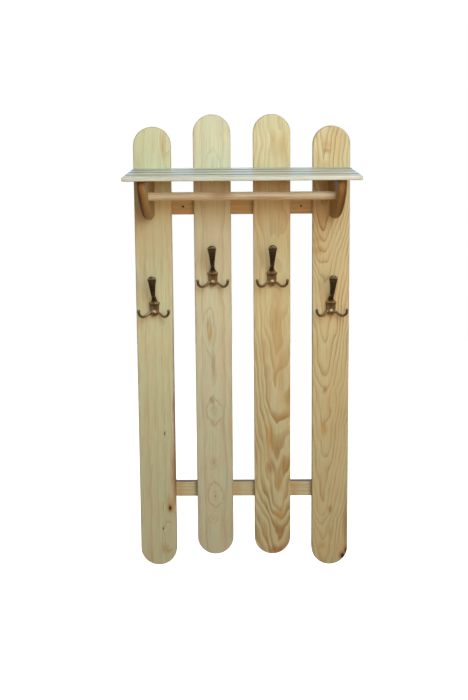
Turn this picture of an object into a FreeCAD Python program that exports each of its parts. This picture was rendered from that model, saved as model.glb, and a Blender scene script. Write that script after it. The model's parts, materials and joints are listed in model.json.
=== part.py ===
import FreeCAD, Part
import math
import os
import Sketcher

# Wall-hung pine coat rack: four upright pickets on two rails, a slatted hat shelf on two
# brackets, a hanging rod between the brackets and a cast triple hook on each picket.
# Millimetres. The wall is the plane Y = 0, the front faces -Y and Z points up. The origin is
# the middle between the two wall-screw holes of the upper rail.

Vector = FreeCAD.Vector
doc = FreeCAD.newDocument("coat_rack")

# Driving dimensions
DRIVING_SIZES = (
    ("overall_width", "550", "across the outer edges of the outer pickets"),
    ("picket_width", "95", "a planed board, round at both ends"),
    ("picket_length", "1170", "all four pickets are equally long"),
    ("picket_thickness", "20", ""),
    ("picket_step", "30", "how much lower the outer pickets hang than the inner ones"),
    ("picket_rise", "236", "wall screws to the top of the inner pickets"),
    ("picket_edge", "3", "eased edge"),
    ("rail_inset", "20", "outer edge of an outer picket to the end of a rail"),
    ("rail_height", "40", ""),
    ("rail_thickness", "15", ""),
    ("rail_edge", "1.5", "eased edge"),
    ("lower_rail_rise", "174", "lower end of the inner pickets to the middle of the lower rail"),
    ("wall_hole", "5", "diameter of a wall-screw hole"),
    ("wall_sink", "9", "its countersink, on the front"),
    ("shelf_rise", "92", "wall screws to the underside of the slats"),
    ("shelf_length", "550", ""),
    ("slat_width", "52", ""),
    ("slat_gap", "14", ""),
    ("slat_thickness", "10", ""),
    ("slat_edge", "2.5", "eased edge"),
    ("bracket_thickness", "20", ""),
    ("bracket_depth", "226", "along the underside of the slats"),
    ("bracket_height", "118", "down the picket"),
    ("bracket_inset", "32", "to a bracket, from halfway between the shelf end and the picket edge"),
    ("bracket_nose", "6", "upright stretch at the front, below the slats"),
    ("bracket_nose_radius", "42", "first and tighter arc of the oval front"),
    ("bracket_foot", "8", "level stretch at the bottom, against the picket"),
    ("bracket_edge", "8.5", "rounded front edge"),
    ("rod_diameter", "20", ""),
    ("rod_reach", "151", "picket face to the middle of the rod"),
    ("rod_drop", "45.5", "underside of the slats to the middle of the rod"),
    ("rod_socket", "10", "depth of the blind socket in each bracket"),
    ("rod_clearance", "0.15", "round the rod and at its ends"),
    ("dowel_diameter", "6", ""),
    ("dowel_in_slat", "6", ""),
    ("dowel_in_bracket", "18", ""),
    ("dowel_inset", "15", "least distance from a dowel to the end of the bracket top"),
    ("fit_clearance", "0.1", "round every screw and dowel, and past its end"),
    ("rail_screw_diameter", "3.5", ""),
    ("rail_screw_head", "7", ""),
    ("rail_screw_length", "30", ""),
    ("rail_screw_spread", "44", "between the two screws of one crossing"),
    ("bracket_screw_diameter", "4", ""),
    ("bracket_screw_head", "8", ""),
    ("bracket_screw_length", "50", ""),
    ("bracket_screw_margin", "12", "below the dowels for the upper screw, above the rail for the lower"),
    ("hook_inner_drop", "194.5", "wall screws to the boss of an inner hook"),
    ("hook_outer_drop", "272", "wall screws to the boss of an outer hook"),
    ("hook_stem_axis", "4", "picket face to the axis of the turned stem"),
    ("hook_foot_radius", "8.5", ""),
    ("hook_foot_drop", "5", "boss to the bottom of the stem"),
    ("hook_waist_radius", "12", ""),
    ("hook_waist_rise", "8", ""),
    ("hook_throat_radius", "12.3", "below the flared rim"),
    ("hook_throat_rise", "19", ""),
    ("hook_rim_radius", "15", ""),
    ("hook_rim_rise", "26.5", ""),
    ("hook_crown_radius", "4.6", ""),
    ("hook_crown_rise", "42", ""),
    ("hook_boss_radius", "8.5", ""),
    ("hook_boss_reach", "11", "picket face to the middle of the boss"),
    ("arm_root_reach", "8", "picket face to the root of the upper arm"),
    ("arm_root_rise", "31", ""),
    ("arm_radius", "141", "bend of the upper arm"),
    ("arm_root_tilt", "58", "degrees from upright at the root"),
    ("arm_tip_tilt", "20", "degrees from upright at the tip"),
    ("arm_neck_width", "9", ""),
    ("arm_neck_thickness", "8.5", ""),
    ("arm_tip_width", "23", ""),
    ("arm_tip_thickness", "9", ""),
    ("arm_tip_dome", "5.5", "height of the domed tip"),
    ("hook_shoulder_hollow", "2", "depth of the hollow between rim and crown"),
    ("prong_diameter", "6.6", ""),
    ("prong_root_rise", "9.6", ""),
    ("prong_run", "27.8", "straight stretch from the stem axis"),
    ("prong_slope", "29.5", "degrees below level"),
    ("prong_bend", "15.5", "radius of the upturned end"),
    ("prong_upturn", "125", "degrees turned by that end"),
    ("prong_splay", "36", "degrees that each side prong points forward"),
    ("prong_ball", "8", "diameter of the ball end"),
    ("hook_seat", "15", "picket face to the seat of the hook screw, in the boss"),
    ("hook_screw_diameter", "4", ""),
    ("hook_screw_head", "8", ""),
    ("hook_screw_head_height", "2.6", ""),
    ("hook_screw_length", "28", ""),
    ("hook_screw_slot", "1", "width of the slot in its head"),
)
# Sizes that follow the pickets
FOLLOWING_SIZES = (
    ("rail_length", "=overall_width - 2 * rail_inset", ""),
    ("rail_spacing", "=picket_length - picket_rise - lower_rail_rise", "middle to middle"),
)
PICKET_COUNT = 4
SLAT_NAMES = ("shelf_slat_back", "shelf_slat_mid_back", "shelf_slat_mid_front", "shelf_slat_front")
PICKET_PLACES = ("left_outer", "left_inner", "right_inner", "right_outer")
OUTER_PLACES = ("left_outer", "right_outer")
ARM_SHARES = (0, 0.25, 0.5, 0.75, 1)
COUNTERSINK_ANGLE = 90

sheet = doc.addObject("Spreadsheet::Sheet", "Sizes")
for row, (alias, content, note) in enumerate(DRIVING_SIZES + FOLLOWING_SIZES, start=1):
    sheet.set(f"A{row}", alias)
    sheet.set(f"B{row}", content)
    sheet.set(f"C{row}", note)
    sheet.setAlias(f"B{row}", alias)
doc.recompute()


def cell(alias):
    """Expression that reads one size of the sheet."""
    return f"Sizes.{alias}"


def value(expression):
    """Number that an expression of the sheet gives at present."""
    result = sheet.evalExpression(expression.replace("Sizes.", ""))
    return float(getattr(result, "Value", result))


# Places shared by several pieces, as expressions of the sheet
PICKET_PITCH = f"(({cell('overall_width')} - {cell('picket_width')}) / {PICKET_COUNT - 1})"
PICKET_BACK = f"(-{cell('rail_thickness')})"
PICKET_FRONT = f"(-{cell('rail_thickness')} - {cell('picket_thickness')})"
# A bracket has a picket behind it and the slats above it, so its place follows both
BRACKET_MIDDLE = (f"(({cell('shelf_length')} + {cell('overall_width')}) / 4 - {cell('bracket_inset')}"
                  f" - {cell('bracket_thickness')} / 2)")
ROD_LEVEL = f"({cell('shelf_rise')} - {cell('rod_drop')})"
SLAT_PITCH = f"({cell('slat_width')} + {cell('slat_gap')})"
BRACKET_SCREW_DROPS = (
    f"({cell('dowel_in_bracket')} + {cell('bracket_screw_margin')})",
    f"({cell('shelf_rise')} - {cell('rail_height')} / 2 - {cell('bracket_screw_margin')})",
)
RAIL_LEVELS = ("0", f"(-{cell('rail_spacing')})")


def picket_x(index):
    """Middle of a picket, counted from the left."""
    return f"({index - (PICKET_COUNT - 1) / 2} * {PICKET_PITCH})"


def picket_top(place_name):
    """Height of a picket's upper end above the wall screws."""
    if place_name in OUTER_PLACES:
        return f"({cell('picket_rise')} - {cell('picket_step')})"
    return cell("picket_rise")


def hook_level(place_name):
    """Height of a hook's boss."""
    drop = "hook_outer_drop" if place_name in OUTER_PLACES else "hook_inner_drop"
    return f"(-{cell(drop)})"


def dowel_reach(slat):
    """Picket face to a dowel: the middle of the slat, kept off the end of the bracket top."""
    middle = f"({slat} * {SLAT_PITCH} + {cell('slat_width')} / 2)"
    return f"min({middle}; {cell('bracket_depth')} - {cell('dowel_inset')})"


def fitted(diameter):
    """Hole for a screw or dowel of that diameter."""
    return f"({cell(diameter)} + 2 * {cell('fit_clearance')})"


# Helpers for bodies, sketches and features
def new_body(label):
    body = doc.addObject("PartDesign::Body", label)
    body.Label = label
    return body


def place(item, x, y, z):
    """Bind the position of an object to expressions."""
    for axis, expression in zip("xyz", (x, y, z)):
        item.setExpression(f"Placement.Base.{axis}", expression)


def new_sketch(body, name, role, lift=None):
    """Sketch on one of the body's origin planes, lifted along the plane's normal if asked."""
    sketch = body.newObject("Sketcher::SketchObject", name)
    plane = next(item for item in body.Origin.OriginFeatures if item.Role == role)
    sketch.AttachmentSupport = [(plane, "")]
    sketch.MapMode = "FlatFace"
    if lift is not None:
        sketch.setExpression("AttachmentOffset.Base.z", lift)
    return sketch


def bind(sketch, name, expression, *constraint):
    """Add a dimension to a sketch and bind it to an expression."""
    index = sketch.addConstraint(Sketcher.Constraint(*constraint, value(expression)))
    sketch.renameConstraint(index, name)
    sketch.setExpression(f"Constraints.{name}", expression)


def add_rectangle(sketch, left, bottom, right, top):
    """Rectangle whose four sides lie at the given expressions."""
    corners = [(left, bottom), (right, bottom), (right, top), (left, top)]
    points = [Vector(value(x), value(y), 0) for x, y in corners]
    for start, end in zip(points, points[1:] + points[:1]):
        sketch.addGeometry(Part.LineSegment(start, end))
    for line in range(4):
        sketch.addConstraint(Sketcher.Constraint("Coincident", line, 2, (line + 1) % 4, 1))
        direction = "Vertical" if line % 2 else "Horizontal"
        sketch.addConstraint(Sketcher.Constraint(direction, line))
    bind(sketch, "left", left, "DistanceX", -1, 1, 0, 1)
    bind(sketch, "bottom", bottom, "DistanceY", -1, 1, 0, 1)
    bind(sketch, "right", right, "DistanceX", -1, 1, 2, 1)
    bind(sketch, "top", top, "DistanceY", -1, 1, 2, 1)


def add_circles(sketch, centres, diameter):
    """Circles of one diameter at the given pairs of expressions."""
    for index, (x, y) in enumerate(centres):
        centre = Vector(value(x), value(y), 0)
        sketch.addGeometry(Part.Circle(centre, Vector(0, 0, 1), value(diameter) / 2))
        bind(sketch, f"across{index}", x, "DistanceX", -1, 1, index, 3)
        bind(sketch, f"along{index}", y, "DistanceY", -1, 1, index, 3)
        bind(sketch, f"size{index}", diameter, "Diameter", index)


def add_pad(body, sketch, length):
    pad = body.newObject("PartDesign::Pad", f"{body.Label}_pad")
    pad.Profile = sketch
    pad.setExpression("Length", length)
    doc.recompute()
    return pad


def cut_pocket(body, sketch, depth, reverse):
    """Pocket that has to take material away."""
    before = body.Shape.Volume
    pocket = body.newObject("PartDesign::Pocket", f"{sketch.Name}_pocket")
    pocket.Profile = sketch
    pocket.setExpression("Length", depth)
    pocket.Reversed = reverse
    doc.recompute()
    if body.Shape.Volume >= before:
        raise RuntimeError(f"{sketch.Name} cuts nothing from {body.Label}")


def cut_countersunk(body, sketch, diameter, head, reverse):
    """Countersunk holes right through, at the circles of a sketch."""
    before = body.Shape.Volume
    hole = body.newObject("PartDesign::Hole", f"{sketch.Name}_hole")
    hole.Profile = sketch
    doc.recompute()
    hole.DepthType = "ThroughAll"
    hole.Reversed = reverse
    hole.setExpression("Diameter", diameter)
    hole.HoleCutType = "Countersink"
    hole.HoleCutCustomValues = True
    hole.setExpression("HoleCutDiameter", head)
    hole.HoleCutCountersinkAngle = COUNTERSINK_ANGLE
    doc.recompute()
    if body.Shape.Volume >= before:
        raise RuntimeError(f"{sketch.Name} cuts nothing from {body.Label}")


def round_edges(body, base, wanted, radius):
    """Round the edges of a feature for which wanted() is true."""
    names = [f"Edge{number}" for number, edge in enumerate(base.Shape.Edges, start=1) if wanted(edge)]
    fillet = body.newObject("PartDesign::Fillet", f"{body.Label}_edges")
    fillet.Base = (base, names)
    fillet.setExpression("Radius", radius)
    doc.recompute()


def lies_at(edge, axis, position):
    """True where a whole edge lies in the plane axis = position."""
    box = edge.BoundBox
    low = getattr(box, f"{axis}Min")
    high = getattr(box, f"{axis}Max")
    return abs(low - position) < 1e-6 and abs(high - position) < 1e-6


# Pickets
def make_picket(index, place_name):
    """Board with half-round ends. Its own origin is the top end, on the rear face."""
    body = new_body(f"picket_{place_name}")
    half = value(cell("picket_width")) / 2
    low = half - value(cell("picket_length"))
    outline = new_sketch(body, f"picket_outline{index}", "XZ_Plane")
    up = Vector(0, 0, 1)
    upper_arc = Part.Circle(Vector(0, -half, 0), up, half)
    lower_arc = Part.Circle(Vector(0, low, 0), up, half)
    outline.addGeometry(Part.LineSegment(Vector(half, low, 0), Vector(half, -half, 0)))
    outline.addGeometry(Part.ArcOfCircle(upper_arc, 0, math.pi))
    outline.addGeometry(Part.LineSegment(Vector(-half, -half, 0), Vector(-half, low, 0)))
    outline.addGeometry(Part.ArcOfCircle(lower_arc, math.pi, 2 * math.pi))
    for first, first_end, second, second_end in ((0, 2, 1, 1), (1, 2, 2, 1), (2, 2, 3, 1), (3, 2, 0, 1)):
        outline.addConstraint(Sketcher.Constraint("Tangent", first, first_end, second, second_end))
    outline.addConstraint(Sketcher.Constraint("Vertical", 0))
    outline.addConstraint(Sketcher.Constraint("PointOnObject", 1, 3, -2))
    outline.addConstraint(Sketcher.Constraint("PointOnObject", 3, 3, -2))
    bind(outline, "radius", f"{cell('picket_width')} / 2", "Radius", 1)
    bind(outline, "top", f"-{cell('picket_width')} / 2", "DistanceY", -1, 1, 1, 3)
    bind(outline, "span", f"{cell('picket_width')} - {cell('picket_length')}", "DistanceY", 1, 3, 3, 3)
    pad = add_pad(body, outline, cell("picket_thickness"))
    front = -value(cell("picket_thickness"))
    round_edges(body, pad, lambda edge: lies_at(edge, "Y", 0) or lies_at(edge, "Y", front),
                cell("picket_edge"))

    top = picket_top(place_name)
    spread = f"{cell('rail_screw_spread')} / 2"
    rail_pilots = new_sketch(body, f"rail_pilots{index}", "XZ_Plane")
    add_circles(rail_pilots, [(f"{side} * {spread}", f"{level} - {top}")
                              for level in RAIL_LEVELS for side in (-1, 1)], fitted("rail_screw_diameter"))
    cut_pocket(body, rail_pilots, f"{cell('rail_screw_length')} - {cell('rail_thickness')}"
               f" + {cell('fit_clearance')}", True)

    hook_pilot = new_sketch(body, f"hook_pilot{index}", "XZ_Plane", cell("picket_thickness"))
    add_circles(hook_pilot, [("0", f"{hook_level(place_name)} - {top}")], fitted("hook_screw_diameter"))
    cut_pocket(body, hook_pilot, f"{cell('hook_screw_length')} - {cell('hook_seat')}"
               f" + {cell('fit_clearance')}", False)

    if place_name in OUTER_PLACES:
        side = -1 if index == 0 else 1
        bracket_holes = new_sketch(body, f"bracket_holes{index}", "XZ_Plane")
        add_circles(bracket_holes, [(f"{side} * {BRACKET_MIDDLE} - {picket_x(index)}",
                                     f"{cell('shelf_rise')} - {drop} - {top}")
                                    for drop in BRACKET_SCREW_DROPS], fitted("bracket_screw_diameter"))
        cut_countersunk(body, bracket_holes, fitted("bracket_screw_diameter"),
                        fitted("bracket_screw_head"), True)
    place(body, picket_x(index), PICKET_BACK, top)
    return body


# Rails
def make_rail(label, level, with_wall_holes):
    """Batten across the backs of the pickets. Its own origin is the middle of its rear face."""
    body = new_body(label)
    outline = new_sketch(body, f"{label}_outline", "XZ_Plane")
    half_length = f"{cell('rail_length')} / 2"
    half_height = f"{cell('rail_height')} / 2"
    add_rectangle(outline, f"-{half_length}", f"-{half_height}", half_length, half_height)
    pad = add_pad(body, outline, cell("rail_thickness"))
    round_edges(body, pad, lambda edge: True, cell("rail_edge"))
    screw_holes = new_sketch(body, f"{label}_screw_holes", "XZ_Plane")
    spread = f"{cell('rail_screw_spread')} / 2"
    add_circles(screw_holes, [(f"{picket_x(index)} + {side} * {spread}", "0")
                              for index in range(PICKET_COUNT) for side in (-1, 1)],
                fitted("rail_screw_diameter"))
    cut_countersunk(body, screw_holes, fitted("rail_screw_diameter"), fitted("rail_screw_head"), True)
    if with_wall_holes:
        wall_holes = new_sketch(body, f"{label}_wall_holes", "XZ_Plane", cell("rail_thickness"))
        add_circles(wall_holes, [(f"{side} * {PICKET_PITCH}", "0") for side in (-1, 1)], cell("wall_hole"))
        cut_countersunk(body, wall_holes, cell("wall_hole"), cell("wall_sink"), False)
    place(body, "0", "0", level)
    return body


# Shelf
def make_slat(slat, label):
    """Shelf slat. Its own origin is the middle of its rear lower edge."""
    body = new_body(label)
    outline = new_sketch(body, f"{label}_outline", "XY_Plane")
    half_length = f"{cell('shelf_length')} / 2"
    add_rectangle(outline, f"-{half_length}", f"-{cell('slat_width')}", half_length, "0")
    pad = add_pad(body, outline, cell("slat_thickness"))
    round_edges(body, pad, lambda edge: True, cell("slat_edge"))
    dowel_holes = new_sketch(body, f"{label}_dowel_holes", "XY_Plane")
    reach = f"{slat} * {SLAT_PITCH} - {dowel_reach(slat)}"
    add_circles(dowel_holes, [(f"{side} * {BRACKET_MIDDLE}", reach) for side in (-1, 1)],
                fitted("dowel_diameter"))
    cut_pocket(body, dowel_holes, f"{cell('dowel_in_slat')} + {cell('fit_clearance')}", True)
    place(body, "0", f"{PICKET_FRONT} - {slat} * {SLAT_PITCH}", cell("shelf_rise"))
    return body


def make_bracket(label, side):
    """Oval-fronted shelf bracket. Its own origin is its top rear corner, on its left face."""
    body = new_body(label)
    depth = value(cell("bracket_depth"))
    height = value(cell("bracket_height"))
    nose = value(cell("bracket_nose"))
    foot = value(cell("bracket_foot"))
    tight = value(cell("bracket_nose_radius"))
    run = depth - tight - foot
    fall = height - nose
    wide = (run ** 2 + fall ** 2 - tight ** 2) / (2 * (fall - tight))
    up = Vector(0, 0, 1)
    tight_middle = Vector(tight - depth, -nose, 0)
    wide_middle = Vector(-foot, wide - height, 0)
    turn = math.atan2(tight_middle.y - wide_middle.y, tight_middle.x - wide_middle.x)
    outline = new_sketch(body, f"{label}_outline", "YZ_Plane")
    outline.addGeometry(Part.LineSegment(Vector(0, 0, 0), Vector(-depth, 0, 0)))
    outline.addGeometry(Part.LineSegment(Vector(-depth, 0, 0), Vector(-depth, -nose, 0)))
    outline.addGeometry(Part.ArcOfCircle(Part.Circle(tight_middle, up, tight), -math.pi, turn))
    outline.addGeometry(Part.ArcOfCircle(Part.Circle(wide_middle, up, wide), turn, -math.pi / 2))
    outline.addGeometry(Part.LineSegment(Vector(-foot, -height, 0), Vector(0, -height, 0)))
    outline.addGeometry(Part.LineSegment(Vector(0, -height, 0), Vector(0, 0, 0)))
    for first, second in ((0, 1), (4, 5), (5, 0)):
        outline.addConstraint(Sketcher.Constraint("Coincident", first, 2, second, 1))
    for first, second in ((1, 2), (2, 3), (3, 4)):
        outline.addConstraint(Sketcher.Constraint("Tangent", first, 2, second, 1))
    for line, direction in ((0, "Horizontal"), (1, "Vertical"), (4, "Horizontal"), (5, "Vertical")):
        outline.addConstraint(Sketcher.Constraint(direction, line))
    outline.addConstraint(Sketcher.Constraint("Coincident", 0, 1, -1, 1))
    bind(outline, "depth", f"-{cell('bracket_depth')}", "DistanceX", -1, 1, 0, 2)
    bind(outline, "nose", f"-{cell('bracket_nose')}", "DistanceY", 1, 1, 1, 2)
    bind(outline, "height", f"-{cell('bracket_height')}", "DistanceY", -1, 1, 4, 2)
    bind(outline, "foot", cell("bracket_foot"), "DistanceX", 4, 1, 4, 2)
    bind(outline, "nose_radius", cell("bracket_nose_radius"), "Radius", 2)
    pad = add_pad(body, outline, cell("bracket_thickness"))
    thickness = value(cell("bracket_thickness"))

    def on_front_edge(edge):
        on_a_face = lies_at(edge, "X", 0) or lies_at(edge, "X", thickness)
        return on_a_face and not lies_at(edge, "Y", 0) and not lies_at(edge, "Z", 0)

    round_edges(body, pad, on_front_edge, cell("bracket_edge"))

    socket = new_sketch(body, f"{label}_socket", "YZ_Plane", cell("bracket_thickness") if side < 0 else "0")
    add_circles(socket, [(f"-{cell('rod_reach')}", f"-{cell('rod_drop')}")],
                f"({cell('rod_diameter')} + 2 * {cell('rod_clearance')})")
    cut_pocket(body, socket, cell("rod_socket"), side > 0)

    middle = f"{cell('bracket_thickness')} / 2"
    dowel_holes = new_sketch(body, f"{label}_dowel_holes", "XY_Plane")
    add_circles(dowel_holes, [(middle, f"-{dowel_reach(slat)}") for slat in range(len(SLAT_NAMES))],
                fitted("dowel_diameter"))
    cut_pocket(body, dowel_holes, f"{cell('dowel_in_bracket')} + {cell('fit_clearance')}", False)

    screw_pilots = new_sketch(body, f"{label}_screw_pilots", "XZ_Plane")
    add_circles(screw_pilots, [(middle, f"-{drop}") for drop in BRACKET_SCREW_DROPS],
                fitted("bracket_screw_diameter"))
    cut_pocket(body, screw_pilots, f"{cell('bracket_screw_length')} - {cell('picket_thickness')}"
               f" + {cell('fit_clearance')}", True)
    place(body, f"{side} * {BRACKET_MIDDLE} - {middle}", PICKET_FRONT, cell("shelf_rise"))
    return body


def make_rod():
    """Round hanging rod, both ends in the blind sockets of the brackets."""
    rod = doc.addObject("Part::Cylinder", "hanging_rod")
    rod.Label = "hanging_rod"
    half_length = (f"({BRACKET_MIDDLE} - {cell('bracket_thickness')} / 2"
                   f" + {cell('rod_socket')} - {cell('rod_clearance')})")
    rod.setExpression("Radius", f"{cell('rod_diameter')} / 2")
    rod.setExpression("Height", f"2 * {half_length}")
    rod.Placement.Rotation = FreeCAD.Rotation(Vector(0, 1, 0), 90)
    place(rod, f"-{half_length}", f"{PICKET_FRONT} - {cell('rod_reach')}", ROD_LEVEL)
    return rod


def make_dowels():
    """Hidden dowels between the brackets and the slats."""
    dowels = []
    for side in (-1, 1):
        for slat in range(len(SLAT_NAMES)):
            dowel = doc.addObject("Part::Cylinder", "dowel")
            dowel.setExpression("Radius", f"{cell('dowel_diameter')} / 2")
            dowel.setExpression("Height", f"{cell('dowel_in_slat')} + {cell('dowel_in_bracket')}")
            place(dowel, f"{side} * {BRACKET_MIDDLE}", f"{PICKET_FRONT} - {dowel_reach(slat)}",
                  f"{cell('shelf_rise')} - {cell('dowel_in_bracket')}")
            dowels.append(dowel)
    return group_solids("shelf_dowels", dowels)


def group_solids(label, members):
    group = doc.addObject("Part::Compound", label)
    group.Label = label
    group.Links = members
    return group


# Screws from behind
def make_wood_screw(name, kind):
    """Countersunk wood screw along -Y, the top of its head at its own origin."""
    body = new_body(name)
    head = value(cell(f"{kind}_head")) / 2
    shank = value(cell(f"{kind}_diameter")) / 2
    length = value(cell(f"{kind}_length"))
    profile = new_sketch(body, f"{name}_profile", "YZ_Plane")
    corners = [(0, 0), (0, head), (shank - head, shank), (shank * 2 - length, shank), (-length, 0)]
    points = [Vector(x, y, 0) for x, y in corners]
    for start, end in zip(points, points[1:] + points[:1]):
        profile.addGeometry(Part.LineSegment(start, end))
    for line in range(len(points)):
        following = (line + 1) % len(points)
        profile.addConstraint(Sketcher.Constraint("Coincident", line, 2, following, 1))
    profile.addConstraint(Sketcher.Constraint("Coincident", 0, 1, -1, 1))
    profile.addConstraint(Sketcher.Constraint("Vertical", 0))
    profile.addConstraint(Sketcher.Constraint("Horizontal", 2))
    profile.addConstraint(Sketcher.Constraint("Horizontal", 4))
    bind(profile, "head", f"{cell(kind + '_head')} / 2", "DistanceY", 0, 1, 0, 2)
    bind(profile, "shank", f"{cell(kind + '_diameter')} / 2", "DistanceY", 0, 1, 1, 2)
    bind(profile, "cone", f"({cell(kind + '_diameter')} - {cell(kind + '_head')}) / 2",
         "DistanceX", 0, 2, 1, 2)
    bind(profile, "length", f"-{cell(kind + '_length')}", "DistanceX", 0, 1, 3, 2)
    bind(profile, "point", f"-{cell(kind + '_diameter')}", "DistanceX", 2, 2, 3, 2)
    turned = body.newObject("PartDesign::Revolution", f"{name}_turned")
    turned.Profile = profile
    turned.ReferenceAxis = (profile, ["H_Axis"])
    doc.recompute()
    return body


def make_screw_group(label, kind, centres, back):
    """Equal wood screws at the given pairs of expressions, heads on the plane Y = back."""
    screws = []
    for number, (x, z) in enumerate(centres):
        screw = make_wood_screw(f"{kind}_{number}", kind)
        place(screw, x, back, z)
        screws.append(screw)
    return group_solids(label, screws)


# Hooks
def make_hook_shape():
    """Cast triple hook on the plane Y = 0. Its own origin is the middle of its boss."""
    size = {alias: value(cell(alias)) for alias, _, _ in DRIVING_SIZES}
    forward = Vector(0, -1, 0)
    up = Vector(0, 0, 1)

    stem_points = [
        Vector(size["hook_foot_radius"], 0, -size["hook_foot_drop"]),
        Vector(size["hook_waist_radius"], 0, size["hook_waist_rise"]),
        Vector(size["hook_throat_radius"], 0, size["hook_throat_rise"]),
        Vector(size["hook_rim_radius"], 0, size["hook_rim_rise"]),
    ]
    stem_curve = Part.BSplineCurve()
    stem_curve.interpolate(stem_points)
    crown = Vector(size["hook_crown_radius"], 0, size["hook_crown_rise"])
    shoulder_middle = (stem_points[-1] + crown) * 0.5 - Vector(1, 0, 1) * size["hook_shoulder_hollow"]
    shoulder = Part.Arc(stem_points[-1], shoulder_middle, crown)
    foot_centre = Vector(0, 0, -size["hook_foot_drop"])
    crown_centre = Vector(0, 0, size["hook_crown_rise"])
    half_section = Part.Wire([
        Part.LineSegment(foot_centre, stem_points[0]).toShape(),
        stem_curve.toShape(),
        shoulder.toShape(),
        Part.LineSegment(crown, crown_centre).toShape(),
        Part.LineSegment(crown_centre, foot_centre).toShape(),
    ])
    stem = Part.Face(half_section).revolve(Vector(0, 0, 0), up, 360)
    stem.translate(forward * size["hook_stem_axis"])
    boss = Part.makeSphere(size["hook_boss_radius"], forward * size["hook_boss_reach"])

    root_tilt = math.radians(size["arm_root_tilt"])
    tip_tilt = math.radians(size["arm_tip_tilt"])

    def arm_frame(share):
        """Middle of the upper arm at a share of its bend, with its thickness and length directions."""
        tilt = root_tilt + (tip_tilt - root_tilt) * share
        reach = size["arm_root_reach"] + size["arm_radius"] * (math.cos(tilt) - math.cos(root_tilt))
        rise = size["arm_root_rise"] + size["arm_radius"] * (math.sin(root_tilt) - math.sin(tilt))
        across = Vector(0, math.cos(tilt), math.sin(tilt))
        along = Vector(0, -math.sin(tilt), math.cos(tilt))
        return Vector(0, -reach, rise), across, along

    def arm_half_sizes(share):
        """Half width, opening faster towards the tip, and half thickness."""
        width = size["arm_neck_width"] + (size["arm_tip_width"] - size["arm_neck_width"]) * share ** 2
        thickness = size["arm_neck_thickness"]
        thickness += (size["arm_tip_thickness"] - size["arm_neck_thickness"]) * share
        return width / 2, thickness / 2

    def arm_section(share):
        middle, across, _ = arm_frame(share)
        half_width, half_thickness = arm_half_sizes(share)
        oval = Part.Ellipse(middle + Vector(half_width, 0, 0), middle + across * half_thickness, middle)
        return Part.Wire(oval.toShape())

    arm = Part.makeLoft([arm_section(share) for share in ARM_SHARES], True)
    tip_middle, across, along = arm_frame(1)
    half_width, half_thickness = arm_half_sizes(1)
    side = Vector(half_width, 0, 0)
    across = across * half_thickness
    along = along * size["arm_tip_dome"]
    stretch = FreeCAD.Matrix(side.x, across.x, along.x, tip_middle.x,
                             side.y, across.y, along.y, tip_middle.y,
                             side.z, across.z, along.z, tip_middle.z)
    dome = Part.makeSphere(1, Vector(0, 0, 0), up, 0, 90).transformGeometry(stretch)

    prong_radius = size["prong_diameter"] / 2
    slope = math.radians(size["prong_slope"])
    outward = Vector(math.cos(slope), 0, -math.sin(slope))
    root = Vector(0, 0, size["prong_root_rise"])
    bend_start = root + outward * size["prong_run"]
    bend_middle = bend_start + Vector(math.sin(slope), 0, math.cos(slope)) * size["prong_bend"]
    straight = Part.makeCylinder(prong_radius, size["prong_run"], root, outward)
    section = Part.Face(Part.Wire(Part.Circle(bend_start, outward, prong_radius).toShape()))
    upturned = section.revolve(bend_middle, Vector(0, -1, 0), size["prong_upturn"])
    turn = FreeCAD.Rotation(Vector(0, -1, 0), size["prong_upturn"])
    tip = bend_middle + turn.multVec(bend_start - bend_middle)
    ball = Part.makeSphere(size["prong_ball"] / 2, tip)
    prong = straight.fuse([upturned, ball])
    prong.rotate(Vector(0, 0, 0), up, -size["prong_splay"])
    prong.translate(forward * size["hook_stem_axis"])
    other_prong = prong.mirror(Vector(0, 0, 0), Vector(1, 0, 0))

    casting = stem.fuse([boss, arm, dome, prong, other_prong])
    far = size["overall_width"]
    wall_side = Part.makeBox(2 * far, far, 2 * far, Vector(-far, 0, -far))
    casting = casting.cut(wall_side)
    seat = forward * size["hook_seat"]
    clearance = size["fit_clearance"]
    shank = Part.makeCylinder(size["hook_screw_diameter"] / 2 + clearance, far, seat + forward, -forward)
    room = Part.makeCylinder(size["hook_screw_head"] / 2 + clearance, size["hook_rim_radius"], seat, forward)
    return casting.cut(shank.fuse(room)).removeSplitter()


def make_hook(index, place_name, shape):
    hook = doc.addObject("Part::Feature", f"hook_{place_name}")
    hook.Label = f"hook_{place_name}"
    hook.Shape = shape
    place(hook, picket_x(index), PICKET_FRONT, hook_level(place_name))
    return hook


def make_hook_screws():
    """Slotted pan-head screws, one in the boss of each hook."""
    screws = []
    for index, place_name in enumerate(PICKET_PLACES):
        shank = doc.addObject("Part::Cylinder", "hook_screw_shank")
        shank.setExpression("Radius", f"{cell('hook_screw_diameter')} / 2")
        shank.setExpression("Height", cell("hook_screw_length"))
        head = doc.addObject("Part::Cylinder", "hook_screw_pan")
        head.setExpression("Radius", f"{cell('hook_screw_head')} / 2")
        head.setExpression("Height", cell("hook_screw_head_height"))
        head.setExpression("Placement.Base.z", f"-{cell('hook_screw_head_height')}")
        whole = doc.addObject("Part::Fuse", "hook_screw_blank")
        whole.Base = shank
        whole.Tool = head
        slot = doc.addObject("Part::Box", "hook_screw_slot")
        slot.setExpression("Length", cell("hook_screw_head"))
        slot.setExpression("Width", cell("hook_screw_slot"))
        slot.setExpression("Height", cell("hook_screw_slot"))
        place(slot, f"-{cell('hook_screw_head')} / 2", f"-{cell('hook_screw_slot')} / 2",
              f"-{cell('hook_screw_head_height')}")
        screw = doc.addObject("Part::Cut", "hook_screw")
        screw.Base = whole
        screw.Tool = slot
        screw.Placement.Rotation = FreeCAD.Rotation(Vector(1, 0, 0), -90)
        place(screw, picket_x(index), f"{PICKET_FRONT} - {cell('hook_seat')}", hook_level(place_name))
        screws.append(screw)
    return group_solids("hook_screws", screws)


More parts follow.
